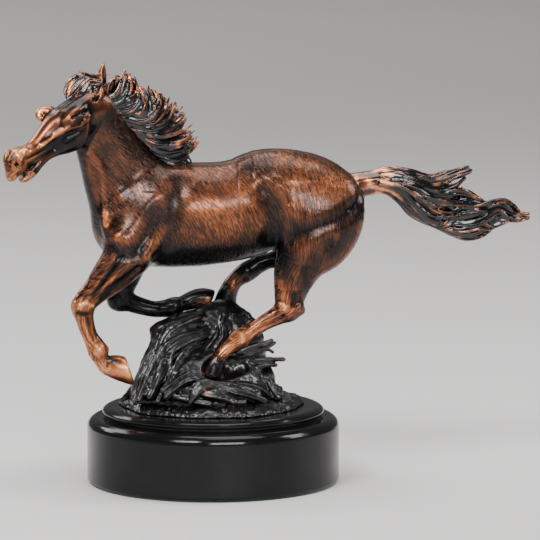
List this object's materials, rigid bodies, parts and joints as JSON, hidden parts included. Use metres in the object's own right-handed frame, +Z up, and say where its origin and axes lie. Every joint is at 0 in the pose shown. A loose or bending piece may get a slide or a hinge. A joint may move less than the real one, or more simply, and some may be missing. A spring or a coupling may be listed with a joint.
{
  "type": "horse statuette",
  "caption": "Galloping bronze-finished horse with blown mane and tail, carried on a gnarled stump over a round black plinth.",
  "frame": {"origin": "plinth axis at the underside of the felt", "axes": "+Z up; the horse runs towards -X; its near (left) side faces -Y"},
  "size_m": [0.266, 0.1264, 0.2111],
  "materials": {
    "felt": "matt wool felt",
    "lacquered_wood": "high gloss black lacquer",
    "dowel_wood": "plain turned beech",
    "steel_fixing": "zinc plated",
    "pin_brass": "plain drawn rod",
    "dark_bronze": "near black patina, rubbed on high points",
    "copper_bronze": "copper patina, polished, dark in recesses"
  },
  "bodies": {
    "root": {"felt_pad": "felt", "plinth_drum": "lacquered_wood", "plinth_moulding": "lacquered_wood", "plinth_dowels": "dowel_wood", "mounting_studs": "steel_fixing", "stud_washers": "steel_fixing", "stud_nuts": "steel_fixing", "ground_casting": "dark_bronze", "stump_casting": "dark_bronze", "stump_pins": "pin_brass", "body_casting": "copper_bronze", "neck_casting": "copper_bronze", "head_casting": "copper_bronze", "mane_casting": "dark_bronze", "forelock_casting": "dark_bronze", "tail_casting": "dark_bronze", "near_fore_leg": "copper_bronze", "far_fore_leg": "copper_bronze", "near_hind_leg": "copper_bronze", "far_hind_leg": "copper_bronze", "neck_pins": "pin_brass", "head_pin": "pin_brass", "tail_pin": "pin_brass", "fore_leg_pins": "pin_brass", "hind_leg_pins": "pin_brass", "hoof_pins": "pin_brass"}
  },
  "joints": []
}
